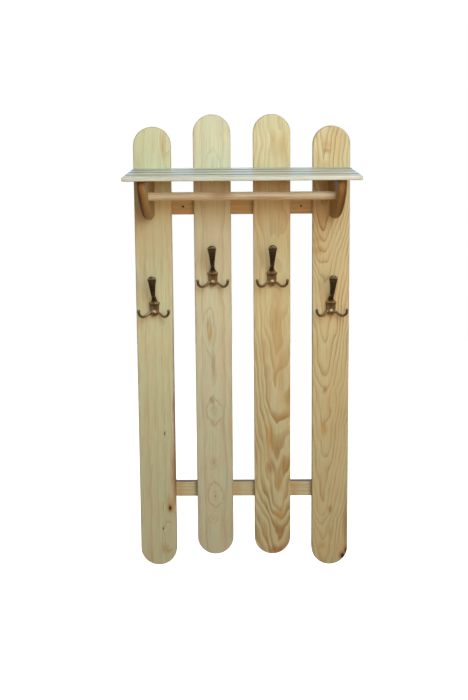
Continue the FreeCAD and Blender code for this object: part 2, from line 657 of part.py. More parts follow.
# Assembly
pieces = [make_picket(index, name) for index, name in enumerate(PICKET_PLACES)]
pieces.append(make_rail("upper_rail", RAIL_LEVELS[0], True))
pieces.append(make_rail("lower_rail", RAIL_LEVELS[1], False))
pieces += [make_slat(slat, label) for slat, label in enumerate(SLAT_NAMES)]
pieces.append(make_bracket("bracket_left", -1))
pieces.append(make_bracket("bracket_right", 1))
pieces.append(make_rod())
pieces.append(make_dowels())
hook_shape = make_hook_shape()
pieces += [make_hook(index, name, hook_shape) for index, name in enumerate(PICKET_PLACES)]
pieces.append(make_hook_screws())
pieces.append(make_screw_group("rail_screws", "rail_screw", [
    (f"{picket_x(index)} + {side} * {cell('rail_screw_spread')} / 2", level)
    for level in RAIL_LEVELS for index in range(PICKET_COUNT) for side in (-1, 1)], "0"))
pieces.append(make_screw_group("bracket_screws", "bracket_screw", [
    (f"{side} * {BRACKET_MIDDLE}", f"{cell('shelf_rise')} - {drop}")
    for side in (-1, 1) for drop in BRACKET_SCREW_DROPS], PICKET_BACK))
doc.recompute()

# Every object has to be sound before anything is written
for item in doc.Objects:
    if "Invalid" in item.State or "Error" in item.State:
        raise RuntimeError(f"{item.Label} failed: {item.State}")
for piece in pieces:
    if piece.Shape.isNull() or not piece.Shape.isValid():
        raise RuntimeError(f"{piece.Label} has no valid shape")

os.makedirs("parts", exist_ok=True)
for piece in pieces:
    piece.Shape.exportStep(f"parts/{piece.Label}.step")
    print(f"{piece.Label}: {len(piece.Shape.Solids)} solids, {piece.Shape.Volume:.1f} mm3")
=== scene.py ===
"""Looks, light and camera for the wall-hung pine coat rack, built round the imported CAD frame."""
import json
import math
from dataclasses import dataclass

import bmesh
import bpy
from mathutils import Matrix, Vector


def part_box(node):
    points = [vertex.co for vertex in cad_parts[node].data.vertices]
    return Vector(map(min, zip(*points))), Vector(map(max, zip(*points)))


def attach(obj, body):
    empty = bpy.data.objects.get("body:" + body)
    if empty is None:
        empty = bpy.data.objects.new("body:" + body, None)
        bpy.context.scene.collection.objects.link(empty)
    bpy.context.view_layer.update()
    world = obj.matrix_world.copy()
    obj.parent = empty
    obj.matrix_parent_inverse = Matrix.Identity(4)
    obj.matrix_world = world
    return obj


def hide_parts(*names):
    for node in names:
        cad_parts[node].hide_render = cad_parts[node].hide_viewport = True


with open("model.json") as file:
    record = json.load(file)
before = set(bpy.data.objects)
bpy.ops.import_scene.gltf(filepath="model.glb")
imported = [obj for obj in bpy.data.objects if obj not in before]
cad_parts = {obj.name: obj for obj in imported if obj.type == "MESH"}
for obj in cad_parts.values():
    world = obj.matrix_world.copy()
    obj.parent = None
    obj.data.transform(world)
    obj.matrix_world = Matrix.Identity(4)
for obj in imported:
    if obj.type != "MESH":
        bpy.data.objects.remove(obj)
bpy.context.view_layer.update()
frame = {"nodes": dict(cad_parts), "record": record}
nodes = frame["nodes"]
MM = 0.001
X_AXIS = 0
Y_AXIS = 1
Z_AXIS = 2


# Node graphs: terms that add, multiply and so on by making Math nodes
class Term:
    """A socket of a node graph that can be used in arithmetic."""

    def __init__(self, graph, socket):
        self.graph = graph
        self.socket = socket

    def __add__(self, other):
        return self.graph.math("ADD", self, other)

    def __radd__(self, other):
        return self.graph.math("ADD", other, self)

    def __sub__(self, other):
        return self.graph.math("SUBTRACT", self, other)

    def __rsub__(self, other):
        return self.graph.math("SUBTRACT", other, self)

    def __mul__(self, other):
        return self.graph.math("MULTIPLY", self, other)

    def __truediv__(self, other):
        return self.graph.math("DIVIDE", self, other)

    def __abs__(self):
        return self.graph.math("ABSOLUTE", self)

    def root(self):
        return self.graph.math("SQRT", self)

    def fraction(self):
        return self.graph.math("FRACT", self)

    def floor(self):
        return self.graph.math("FLOOR", self)

    def at_least(self, other):
        return self.graph.math("MAXIMUM", self, other)

    def at_most(self, other):
        return self.graph.math("MINIMUM", self, other)

    def between(self, low, high):
        """From low where the term is 0 to high where it is 1."""
        return self * (high - low) + low


# The Mix node has sockets for each kind of data, and these are the places of its colours
MIX_COLOUR_INPUTS = (6, 7)
MIX_COLOUR_OUTPUT = 2


class Graph:
    """One material and short ways to add nodes to it."""

    def __init__(self, name):
        self.material = bpy.data.materials.new(name)
        self.material.use_nodes = True
        self.tree = self.material.node_tree
        self.tree.nodes.clear()
        self.shader = self.node("BsdfPrincipled")
        output = self.node("OutputMaterial")
        self.tree.links.new(self.shader.outputs["BSDF"], output.inputs["Surface"])

    def node(self, kind, **settings):
        made = self.tree.nodes.new(f"ShaderNode{kind}")
        for key, setting in settings.items():
            setattr(made, key, setting)
        return made

    def feed(self, socket, source):
        """Link a term to a socket, or set the socket to a plain number or colour."""
        if isinstance(source, Term):
            self.tree.links.new(source.socket, socket)
        else:
            socket.default_value = source

    def surface(self, sources):
        """Feed the shader's sockets by name."""
        for name, source in sources.items():
            self.feed(self.shader.inputs[name], source)

    def math(self, operation, *sources):
        made = self.node("Math", operation=operation)
        for socket, source in zip(made.inputs, sources):
            self.feed(socket, source)
        return Term(self, made.outputs[0])

    def parts(self, vector):
        """The three terms of a vector socket."""
        made = self.node("SeparateXYZ")
        self.tree.links.new(vector, made.inputs[0])
        return [Term(self, socket) for socket in made.outputs]

    def position(self):
        """Object coordinates in millimetres, as three terms."""
        return [part / MM for part in self.parts(self.node("TexCoord").outputs["Object"])]

    def normal(self):
        """The way the surface faces, as three terms."""
        return self.parts(self.node("NewGeometry").outputs["Normal"])

    def noise(self, x, y, z, detail=2.0, roughness=0.5):
        """Noise from about -0.5 to 0.5."""
        place = self.node("CombineXYZ")
        for socket, source in zip(place.inputs, (x, y, z)):
            self.feed(socket, source)
        made = self.node("TexNoise", noise_dimensions="3D")
        self.tree.links.new(place.outputs[0], made.inputs["Vector"])
        made.inputs["Scale"].default_value = 1.0
        made.inputs["Detail"].default_value = detail
        made.inputs["Roughness"].default_value = roughness
        return Term(self, made.outputs["Fac"]) - 0.5

    def random(self, number):
        """A number from 0 to 1 that is the same for the same input."""
        made = self.node("TexWhiteNoise", noise_dimensions="1D")
        self.feed(made.inputs["W"], number)
        return Term(self, made.outputs["Value"])

    def ease(self, term, start, end):
        """0 at start and before, 1 at end and after, smooth between."""
        made = self.node("MapRange", interpolation_type="SMOOTHSTEP")
        self.feed(made.inputs["Value"], term)
        made.inputs["From Min"].default_value = start
        made.inputs["From Max"].default_value = end
        return Term(self, made.outputs["Result"])

    def curve(self, term, points):
        """Smooth curve through (input, output) points in rising order of input."""
        first, last = points[0], points[-1]
        low = min(output for _, output in points)
        high = max(output for _, output in points)
        made = self.node("FloatCurve")
        line = made.mapping.curves[0]
        for index, (place, output) in enumerate(points):
            spot = ((place - first[0]) / (last[0] - first[0]), (output - low) / (high - low))
            if index in (0, len(points) - 1):
                line.points[0 if index == 0 else -1].location = spot
            else:
                line.points.new(*spot)
        made.mapping.update()
        self.feed(made.inputs["Value"], (term - first[0]) / (last[0] - first[0]))
        return Term(self, made.outputs[0]).between(low, high)

    def ramp(self, term, stops):
        """Number that follows (place, value) stops."""
        made = self.node("ValToRGB")
        elements = made.color_ramp.elements
        while len(elements) < len(stops):
            elements.new(0.5)
        for element, (place, grey) in zip(elements, stops):
            element.position = place
            element.color = (grey, grey, grey, 1.0)
        self.feed(made.inputs["Fac"], term)
        return Term(self, made.outputs["Color"])

    def mix(self, first, second, share, blend="MIX"):
        """Colour between two colours."""
        made = self.node("Mix", data_type="RGBA", blend_type=blend)
        self.feed(made.inputs["Factor"], share)
        for index, source in zip(MIX_COLOUR_INPUTS, (first, second)):
            self.feed(made.inputs[index], source)
        return Term(self, made.outputs[MIX_COLOUR_OUTPUT])

    def bump(self, height, distance, strength):
        made = self.node("Bump")
        made.inputs["Distance"].default_value = distance
        made.inputs["Strength"].default_value = strength
        self.feed(made.inputs["Height"], height)
        self.tree.links.new(made.outputs["Normal"], self.shader.inputs["Normal"])


def srgb(red, green, blue):
    """Linear colour of an sRGB triple from 0 to 255."""
    def linear(channel):
        share = channel / 255
        return share / 12.92 if share <= 0.04045 else ((share + 0.055) / 1.055) ** 2.4

    return (linear(red), linear(green), linear(blue), 1.0)


def ellipse(across, along, place, reach):
    """Distance from a place on a face: 1 on the ellipse with the given half sizes."""
    sideways = (across - place[0]) / reach[0]
    lengthways = (along - place[1]) / reach[1]
    return (sideways * sideways + lengthways * lengthways).root()


def almond(across, along, place, reach):
    """The same for a lens shape that is pointed along the grain."""
    lengthways = (along - place[1]) / reach[1]
    return abs(across - place[0]) / reach[0] + lengthways * lengthways


# Wood colours, painted shade among them
COOL_TONE = (0.96, 0.99, 0.95, 1.0)
WARM_TONE = (1.0, 0.95, 0.88, 1.0)
FIBRE_TONE = srgb(184, 152, 106)
EDGE_TONE = srgb(196, 176, 144)
HEARTWOOD = srgb(204, 154, 86)
RUSSET = srgb(170, 106, 64)
KNOT_CORE = srgb(66, 37, 18)
KNOT_HALO = srgb(178, 116, 62)
END_GRAIN = srgb(214, 180, 130)
# Painted shade: dark grey for the slat gaps and for the top of the lower rail
PAINTED_SHADE_GREY = srgb(96, 88, 78)
# Painted shadow of the shelf on the top of each bracket
PAINTED_SHELF_SHADOW = srgb(112, 66, 40)
# Painted shade on the noses of the brackets
PAINTED_NOSE_SHADE = srgb(104, 64, 36)

# Share of late wood from the start of a year ring to its end
FINE_RINGS = ((0.0, 0.0), (0.35, 0.06), (0.66, 0.3), (0.86, 0.88), (0.94, 1.0), (1.0, 0.0))
BROAD_RINGS = ((0.0, 0.0), (0.34, 0.1), (0.5, 0.5), (0.64, 0.7), (0.86, 1.0), (0.96, 0.9), (1.0, 0.0))


@dataclass
class Look:
    """How one piece of wood looks.

    Places and reaches are (across, along) on the face of the piece, in millimetres. Curves are rows of
    (along, value) points.
    """

    seed: float
    pale: tuple
    late: tuple
    pith: tuple = (0.0, 60.0)  # centre of the log, across and behind the face
    spacing: float = 7.0  # millimetres from one year ring to the next
    profile: tuple = FINE_RINGS
    climb: tuple = ()  # curve of the rings added along the board, which bends them into arches
    wander: float = 14.0  # millimetres by which the rings drift sideways
    wobble: float = 1.0  # rings by which the lines sway
    contrast: float = 0.6  # strength of the late wood
    fade: tuple = ()  # curve of that strength along the board
    heart: float = 0.15  # strength of the heartwood patches
    eyes: tuple = ()  # (place, reach, strength) where the rings close round a point
    streaks: tuple = ()  # (place, reach, strength, colour)
    knots: tuple = ()  # (place, reach)
    shaded_top: float = 0.0  # strength of the painted shade on faces that look up
    gloss: float = 0.12  # weight of the varnish
    gloss_roughness: float = 0.3
    specular: float = 0.5


# Noises of the grain: sizes are the width and length of their patches in millimetres
DRIFT = dict(size=(150.0, 300.0), detail=1.0)
SWAY = dict(size=(34.0, 100.0), detail=1.0)
WAVER = dict(size=(30.0, 80.0), detail=3.0)
RIPPLE = dict(size=(7.0, 34.0))
FIBRE = dict(size=(2.6, 80.0), detail=4.0, roughness=0.7)
PORE = dict(size=(0.5, 18.0))

# Patches of the grain: their size, and the noise between which they come up
CLEAR_PATCHES = dict(size=(55.0, 170.0), rise=(-0.2, 0.12))
TONE_PATCHES = dict(size=(42.0, 140.0), rise=(-0.16, 0.16))
HEART_PATCHES = dict(size=(60.0, 230.0), rise=(0.02, 0.26))
DASHES = dict(size=(1.8, 15.0), rise=(0.17, 0.3))


class Board(Graph):
    """The material of one piece of wood, with the piece's local axes and the noises of its grain.

    local gives (across, depth, along) in millimetres from the position terms.
    """

    def __init__(self, name, local, seed):
        super().__init__(name)
        self.across, self.depth, self.along = local(*self.position())
        self.seed = seed
        self.drift = self.grain(**DRIFT)
        self.sway = self.grain(**SWAY)
        self.waver = self.grain(**WAVER)
        self.ripple = self.grain(**RIPPLE)
        self.fibre = self.grain(**FIBRE)
        self.pore = self.grain(**PORE)

    def grain(self, size, detail=2.0, roughness=0.5):
        """Noise in patches of about the given width and length."""
        width, length = size
        return self.noise(self.across / width + self.seed, self.depth / width,
                          self.along / length + self.seed, detail, roughness)

    def patches(self, size, rise):
        """Patches from 0 to 1 where the noise rises through the given range."""
        return self.ease(self.grain(size), *rise)


# Year rings: an eye's waver and ripple are in millimetres, and its fade in reaches from its middle
PALE_PHASE = 0.3
RING_RIPPLE = 0.18
WEAKEST_PATCH = 0.4
WEAKEST_RING = 0.6
LATE_FRAY = 0.8
KNOT_SHIFT = 1.6
KNOT_SHIFT_REACH = (5.0, 7.0)
EYE_RINGS = 2.0
EYE_WAVER = 16.0
EYE_RIPPLE = 20.0
EYE_FADE = (2.3, 1.2)
EYE_SHOWN = 0.9
EYE_FRAY = 1.8


def year_rings(board, look):
    """Count of year rings outward from the pith."""
    sideways = board.across + board.drift * look.wander - look.pith[0]
    inward = board.depth + look.pith[1]
    rings = ((sideways * sideways + inward * inward).root() - look.pith[1]) / look.spacing
    rings = rings + board.sway * look.wobble + board.ripple * RING_RIPPLE
    rings = rings + (board.curve(board.along, look.climb) if look.climb else PALE_PHASE)
    for place, reach in look.knots:
        wide_reach = [half * times for half, times in zip(reach, KNOT_SHIFT_REACH)]
        around = ellipse(board.across, board.along, place, wide_reach)
        rings = rings + board.ease(around, 1.0, 0.0) * KNOT_SHIFT
    return rings


def late_wood(board, look):
    """Share of dark late wood, with more rings round the eyes."""
    rings = year_rings(board, look)
    visible = board.patches(**CLEAR_PATCHES).between(WEAKEST_PATCH, 1.0) * look.contrast
    if look.fade:
        visible = visible * board.curve(board.along, look.fade)
    across = board.across + board.waver * EYE_WAVER
    along = board.along + board.ripple * EYE_RIPPLE
    for place, reach, strength in look.eyes:
        away = almond(across, along, place, reach)
        rings = rings + (EYE_RINGS - PALE_PHASE - away).at_least(0.0)
        shown = board.ease(away, *EYE_FADE) * (board.waver * EYE_FRAY + EYE_SHOWN)
        visible = visible.at_least(shown * strength)
    ring_strength = board.random(rings.floor() + board.seed).between(WEAKEST_RING, 1.0)
    late_share = board.ramp(rings.fraction(), look.profile) * ring_strength * visible
    return late_share * (board.fibre * LATE_FRAY + 1.0)


# Marks: wavers, ripples and bends are in millimetres, and fades in reaches from the middle of a mark
STREAK_WAVER = 12.0
STREAK_RIPPLE = 12.0
STREAK_BEND = 4.0
STREAK_FADE = (1.9, 0.1)
STREAK_FRAY = 1.4
KNOT_WAVER = 3.0
KNOT_BEND = 6.0
KNOT_HALO_FADE = (2.6, 0.9)
KNOT_HALO_STRENGTH = 0.75
KNOT_CORE_FADE = (1.25, 0.5)
KNOT_CORE_STRENGTH = 0.95
FIBRE_RISE = (-0.05, 0.25)
FIBRE_STRENGTH = 0.36
PORE_RISE = (0.1, 0.3)
PORE_STRENGTH = 0.12
DASH_STRENGTH = 0.4


def streaked(board, colour, streaks):
    across = board.across + board.waver * STREAK_WAVER + board.fibre * STREAK_BEND
    along = board.along + board.ripple * STREAK_RIPPLE
    for place, reach, strength, tint in streaks:
        share = board.ease(ellipse(across, along, place, reach), *STREAK_FADE)
        share = share * (board.fibre * STREAK_FRAY + 1.0)
        colour = board.mix(colour, tint, (share * strength).at_most(1.0).at_least(0.0))
    return colour


def knotted(board, colour, knots):
    across = board.across + board.waver * KNOT_WAVER
    along = board.along + board.fibre * KNOT_BEND
    for place, reach in knots:
        away = ellipse(across, along, place, reach)
        colour = board.mix(colour, KNOT_HALO, board.ease(away, *KNOT_HALO_FADE) * KNOT_HALO_STRENGTH)
        colour = board.mix(colour, KNOT_CORE, board.ease(away, *KNOT_CORE_FADE) * KNOT_CORE_STRENGTH)
    return colour


def grown_colour(board, look, late_share):
    """Colour of the wood as it grew, and streaks that paint reflection and shadow on some pieces."""
    tone = board.mix(COOL_TONE, WARM_TONE, board.patches(**TONE_PATCHES))
    colour = board.mix(board.mix(look.pale, look.late, late_share), tone, 1.0, "MULTIPLY")
    colour = board.mix(colour, HEARTWOOD, board.patches(**HEART_PATCHES) * look.heart)
    colour = streaked(board, colour, look.streaks)
    fibres = board.ease(board.fibre, *FIBRE_RISE) * FIBRE_STRENGTH
    fibres = fibres + board.ease(board.pore, *PORE_RISE) * PORE_STRENGTH
    fibres = fibres + board.patches(**DASHES) * DASH_STRENGTH
    colour = board.mix(colour, FIBRE_TONE, fibres, "MULTIPLY")
    return knotted(board, colour, look.knots)


# Wear and painted shade: widths are in millimetres from an edge, and facings are shares of a normal's length
RUBBED_WIDTH = (3.0, 0.2)
RUBBED_FRAY = 2.0
RUBBED_STRENGTH = 0.2
GAP_SHADE_WIDTH = (6.5, 1.5)
GAP_SHADE_STRENGTH = 0.72
NOSE_FACING = (0.98, 0.8)
OUTER_FACING = (-0.3, 0.5)
INNER_NOSE_STRENGTH = 0.3
OUTER_NOSE_STRENGTH = 0.8
UPWARD_FACING = (0.5, 0.9)
END_FACING = (0.5, 0.95)
END_STRENGTH = 0.35


def rubbed_edges(board, colour, outline):
    rubbed = board.ease(outline(board.across, board.along) + board.pore * RUBBED_FRAY, *RUBBED_WIDTH)
    return board.mix(colour, EDGE_TONE, rubbed * RUBBED_STRENGTH, "MULTIPLY")


def shaded_gap_edges(board, colour, gap_edge):
    # Painted shade on the edges of a slat that lie beside a gap
    gap_shade = board.ease(gap_edge(board.across) + board.pore, *GAP_SHADE_WIDTH)
    return board.mix(colour, PAINTED_SHADE_GREY, gap_shade * GAP_SHADE_STRENGTH)


def shaded_nose(board, colour, sideways, outer_side):
    """Painted shade where a bracket doesn't face straight sideways, which is its rounded nose."""
    nose = board.ease(abs(sideways), *NOSE_FACING)
    outward = board.ease(sideways * outer_side, *OUTER_FACING)
    return board.mix(colour, PAINTED_NOSE_SHADE, nose * outward.between(INNER_NOSE_STRENGTH, OUTER_NOSE_STRENGTH))


# Finish
WOOD_ROUGHNESS = 0.42
LATE_SMOOTHNESS = 0.08
FIBRE_ROUGHNESS = 0.12
END_ROUGHNESS = 0.2
WOOD_IOR = 1.46
LATE_HEIGHT = 0.5
FIBRE_HEIGHT = 0.5
PORE_HEIGHT = 0.2
GRAIN_DEPTH = 0.3 * MM
GRAIN_BUMP = 0.35


def wood(name, local, look, grain_axis=Z_AXIS, outline=None, gap_edge=None, nose_side=0):
    """Planed and satin-varnished wood.

    outline and gap_edge give the distance inside the edges of the piece: those that are rubbed, and those
    beside a gap, which get painted shade. nose_side is the side, -1 or 1, on which a nose gets the most
    painted shade.
    """
    board = Board(name, local, look.seed)
    late_share = late_wood(board, look)
    colour = grown_colour(board, look, late_share)
    normal = board.normal()
    end_share = board.ease(abs(normal[grain_axis]), *END_FACING)
    colour = board.mix(colour, END_GRAIN, end_share * END_STRENGTH, "MULTIPLY")
    if outline:
        colour = rubbed_edges(board, colour, outline)
    if gap_edge:
        colour = shaded_gap_edges(board, colour, gap_edge)
    if nose_side:
        colour = shaded_nose(board, colour, normal[X_AXIS], nose_side)
    # Painted shade on faces that look up
    if look.shaded_top:
        colour = board.mix(colour, PAINTED_SHADE_GREY, board.ease(normal[Z_AXIS], *UPWARD_FACING) * look.shaded_top)
    roughness = WOOD_ROUGHNESS - late_share * LATE_SMOOTHNESS + board.fibre * FIBRE_ROUGHNESS
    board.surface({
        "Base Color": colour,
        "Roughness": roughness + end_share * END_ROUGHNESS,
        "IOR": WOOD_IOR,
        "Coat Weight": look.gloss,
        "Coat Roughness": look.gloss_roughness,
        "Specular IOR Level": look.specular,
    })
    height = late_share * LATE_HEIGHT + board.fibre * FIBRE_HEIGHT + board.pore * PORE_HEIGHT
    board.bump(height, GRAIN_DEPTH, GRAIN_BUMP)
    return board.material


def dress(name, material):
    """Give a CAD node its material."""
    slots = nodes[name].data.materials
    slots.clear()
    slots.append(material)


def middle_of(name):
    """Middle of a CAD node in millimetres."""
    low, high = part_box(name)
    return (low + high) / 2 / MM


# Pickets
picket_low, picket_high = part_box("picket_left_outer")
PICKET_HALF_WIDTH = (picket_high.x - picket_low.x) / 2 / MM
PICKET_LENGTH = (picket_high.z - picket_low.z) / MM


def picket_frame(name):
    """Local axes of a picket: from its middle line, from its front face, down from its top end."""
    low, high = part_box(name)
    middle = middle_of(name).x
    front = low.y / MM
    top = high.z / MM
    return lambda x, y, z: (x - middle, y - front, top - z)


def picket_outline(across, along):
    """Distance inside the round-ended outline of a picket."""
    half = PICKET_LENGTH / 2
    beyond = (abs(along - half) - (half - PICKET_HALF_WIDTH)).at_least(0.0)
    return PICKET_HALF_WIDTH - (across * across + beyond * beyond).root()


# The figure of each picket as the photograph shows it: places are across and down the board
PICKETS = {
    "picket_left_outer": Look(
        seed=3.1, pale=srgb(224, 221, 182), late=srgb(174, 150, 90), pith=(-90.0, 130.0), spacing=11.0,
        contrast=0.3, heart=0.12,
        eyes=(((33.0, 40.0), (12.0, 44.0), 0.4), ((23.0, 1092.0), (11.0, 44.0), 0.6),
              ((30.0, 1006.0), (12.0, 26.0), 0.5)),
        streaks=(((47.0, 740.0), (3.0, 230.0), 0.8, RUSSET), ((45.0, 925.0), (6.0, 60.0), 0.75, RUSSET),
                 ((33.0, 998.0), (9.0, 20.0), 0.6, HEARTWOOD), ((18.0, 1124.0), (9.0, 12.0), 0.5, HEARTWOOD),
                 ((-36.0, 110.0), (6.0, 40.0), 0.3, HEARTWOOD),
                 ((30.0, 52.0), (6.0, 34.0), 0.45, HEARTWOOD)),
        knots=(((31.0, 1010.0), (3.6, 6.5)), ((20.0, 804.0), (1.3, 4.0)), ((12.5, 1067.0), (1.3, 3.0)))),
    "picket_left_inner": Look(
        seed=7.7, pale=srgb(224, 220, 187), late=srgb(162, 128, 76), pith=(0.0, 70.0), spacing=9.0,
        contrast=0.45, heart=0.1,
        eyes=(((2.0, 130.0), (14.0, 44.0), 0.4), ((-9.0, 556.0), (13.0, 60.0), 0.6),
              ((-2.0, 655.0), (6.0, 46.0), 0.4), ((-1.5, 775.0), (13.0, 38.0), 0.8),
              ((-3.5, 914.0), (7.0, 18.0), 0.55), ((0.5, 1003.0), (15.0, 36.0), 0.55),
              ((-6.0, 1072.0), (10.0, 13.0), 0.5)),
        streaks=(((-6.0, 564.0), (5.0, 20.0), 0.6, HEARTWOOD), ((-2.0, 654.0), (5.0, 36.0), 0.4, RUSSET),
                 ((-6.0, 745.0), (6.0, 7.0), 0.55, RUSSET), ((-5.0, 806.0), (6.0, 9.0), 0.5, HEARTWOOD),
                 ((-3.0, 914.0), (5.0, 10.0), 0.4, HEARTWOOD), ((42.0, 800.0), (5.0, 40.0), 0.3, HEARTWOOD)),
        knots=(((1.0, 1007.0), (0.8, 1.4)),)),
    "picket_right_inner": Look(
        seed=1.9, pale=srgb(224, 214, 170), late=srgb(176, 128, 62), pith=(18.0, 40.0), spacing=9.5,
        profile=BROAD_RINGS, wander=22.0, wobble=2.8, contrast=0.86, heart=0.25,
        fade=((0.0, 0.4), (430.0, 0.4), (640.0, 0.65), (800.0, 1.0), (PICKET_LENGTH, 1.0)),
        climb=((0.0, 0.0), (300.0, 0.7), (560.0, 1.7), (731.0, 3.0), (824.0, 4.0), (904.0, 5.0),
               (991.0, 6.0), (1042.0, 7.0), (1075.0, 8.0), (1115.0, 9.0), (1158.0, 10.0),
               (PICKET_LENGTH, 10.3)),
        streaks=(((30.0, 69.0), (9.0, 34.0), 0.4, HEARTWOOD), ((14.0, 560.0), (17.0, 85.0), 0.45, HEARTWOOD),
                 ((25.0, 680.0), (8.0, 42.0), 0.4, HEARTWOOD), ((-21.0, 616.0), (7.0, 34.0), 0.4, HEARTWOOD),
                 ((-9.0, 725.0), (6.0, 44.0), 0.4, HEARTWOOD), ((-4.0, 848.0), (8.0, 32.0), 0.65, HEARTWOOD),
                 ((10.0, 884.0), (8.0, 20.0), 0.45, RUSSET), ((-6.0, 928.0), (8.0, 15.0), 0.6, RUSSET),
                 ((18.0, 978.0), (7.0, 15.0), 0.5, HEARTWOOD),
                 ((20.0, 1060.0), (13.0, 14.0), 0.6, HEARTWOOD),
                 ((21.0, 1103.0), (11.0, 12.0), 0.5, RUSSET), ((10.0, 1158.0), (17.0, 9.0), 0.7, RUSSET))),
    "picket_right_outer": Look(
        seed=5.3, pale=srgb(224, 208, 161), late=srgb(166, 122, 66), pith=(-16.0, 26.0), spacing=8.0,
        wander=20.0, wobble=2.4, contrast=0.66, heart=0.22,
        fade=((0.0, 0.9), (300.0, 1.45), (480.0, 1.3), (640.0, 0.95), (PICKET_LENGTH, 0.95)),
        climb=((0.0, 0.0), (60.0, 1.0), (200.0, 2.0), (255.0, 3.0), (300.0, 4.2), (340.0, 5.4), (375.0, 6.5),
               (415.0, 7.4), (500.0, 8.2), (552.0, 9.0), (653.0, 10.0), (700.0, 11.0), (802.0, 12.0),
               (965.0, 14.0), (1025.0, 15.0), (1050.0, 16.0), (PICKET_LENGTH, 18.0)),
        streaks=(((-13.0, 47.0), (9.0, 8.0), 0.55, HEARTWOOD), ((-13.0, 63.0), (8.0, 5.0), 0.6, RUSSET),
                 ((-34.0, 85.0), (6.0, 18.0), 0.45, HEARTWOOD), ((-20.0, 98.0), (15.0, 8.0), 0.5, HEARTWOOD),
                 ((-35.0, 289.0), (9.0, 8.0), 0.5, HEARTWOOD), ((-33.0, 320.0), (12.0, 9.0), 0.6, HEARTWOOD),
                 ((-14.0, 689.0), (5.0, 9.0), 0.5, RUSSET), ((-17.0, 793.0), (7.0, 18.0), 0.7, HEARTWOOD),
                 ((1.0, 1015.0), (5.0, 9.0), 0.6, RUSSET), ((1.0, 1081.0), (7.0, 13.0), 0.4, HEARTWOOD),
                 ((-18.0, 1117.0), (7.0, 9.0), 0.45, HEARTWOOD), ((42.0, 1060.0), (4.0, 75.0), 0.6, RUSSET)),
        knots=(((44.0, 1132.0), (3.2, 9.0)), ((35.0, 1146.0), (5.5, 8.0)))),
}
for picket, look in PICKETS.items():
    dress(picket, wood(f"pine_{picket}", picket_frame(picket), look, outline=picket_outline))


# Rails, slats and other pieces that run left to right
def upright_frame(name):
    """Local axes of a piece that is seen on its front: up, back and to the right."""
    middle = middle_of(name)
    return lambda x, y, z: (z - middle.z, y - middle.y, x)


def flat_frame(name):
    """Local axes of a board that is seen on its top: back, up and to the right."""
    middle = middle_of(name)
    return lambda x, y, z: (y - middle.y, z - middle.z, x)


def end_outline(name):
    """Distance inside the nearest end of a board that runs left to right."""
    low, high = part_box(name)
    half = (high.x - low.x) / 2 / MM
    return lambda across, along: half - abs(along)


# The lower rail is yellow in three places, a painted warm reflection from the picket beside it
PAINTED_RAIL_REFLECTION_PLACES = (-172.0, -20.0, 132.0)
RAILS = {
    "upper_rail": Look(
        seed=11.0, pale=srgb(209, 184, 134), late=srgb(176, 126, 68), pith=(30.0, 70.0), spacing=6.0,
        contrast=0.5),
    # The lower rail's top gets painted shade
    "lower_rail": Look(
        seed=13.0, pale=srgb(223, 211, 170), late=srgb(186, 144, 88), pith=(-40.0, 60.0), spacing=6.0,
        contrast=0.5, shaded_top=0.9,
        streaks=tuple(((0.0, place), (40.0, 11.0), 0.45, HEARTWOOD) for place in PAINTED_RAIL_REFLECTION_PLACES)),
}
for rail, look in RAILS.items():
    dress(rail, wood(f"pine_{rail}", upright_frame(rail), look, X_AXIS, end_outline(rail)))

# Each slat with its sides that face a gap: -1 for the front and 1 for the back
SLAT_SETTINGS = dict(late=srgb(192, 154, 98), spacing=6.0, contrast=0.4, gloss=0.35, gloss_roughness=0.14)
# The slats' pale colours are near-white and cool: a painted reflection of a bright sky on their tops
SLATS = {
    "shelf_slat_back": (
        (-1,), Look(seed=17.0, pale=srgb(232, 233, 225), pith=(10.0, 55.0), **SLAT_SETTINGS)),
    "shelf_slat_mid_back": (
        (-1, 1), Look(seed=19.0, pale=srgb(230, 230, 221), pith=(-30.0, 70.0), **SLAT_SETTINGS)),
    "shelf_slat_mid_front": (
        (-1, 1), Look(seed=23.0, pale=srgb(232, 233, 225), pith=(20.0, 50.0), **SLAT_SETTINGS)),
    "shelf_slat_front": (
        (1,), Look(seed=29.0, pale=srgb(217, 217, 205), pith=(-18.0, 65.0), **SLAT_SETTINGS)),
}


def slat_gap_edge(name, sides):
    """Distance inside those edges of a slat that lie beside a gap."""
    low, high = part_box(name)
    half = (high.y - low.y) / 2 / MM
    if len(sides) == 2:
        return lambda across: half - abs(across)
    return lambda across: half - across * sides[0]


for slat, (sides, look) in SLATS.items():
    dress(slat, wood(f"pine_{slat}", flat_frame(slat), look, X_AXIS, end_outline(slat),
                     slat_gap_edge(slat, sides)))

ROD_LOOK = Look(
    seed=41.0, pale=srgb(225, 217, 186), late=srgb(184, 140, 88), pith=(6.0, 30.0), spacing=5.0,
    contrast=0.55, gloss=0.6, gloss_roughness=0.2,
    streaks=(((4.0, -50.0), (6.0, 22.0), 0.7, RUSSET), ((-3.0, 70.0), (4.0, 40.0), 0.4, HEARTWOOD)))
dress("hanging_rod", wood("pine_rod", upright_frame("hanging_rod"), ROD_LOOK, X_AXIS))

DOWEL_LOOK = Look(seed=43.0, pale=srgb(222, 196, 150), late=srgb(190, 146, 92), spacing=3.0)
dress("shelf_dowels", wood("beech_dowels", upright_frame("shelf_dowels"), DOWEL_LOOK))


# Brackets
def bracket_frame(name):
    """Local axes of a bracket: down from its top, from its middle plane, back from its nose."""
    low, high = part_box(name)
    middle = middle_of(name).x
    top = high.z / MM
    front = low.y / MM
    return lambda x, y, z: (top - z, x - middle, y - front)


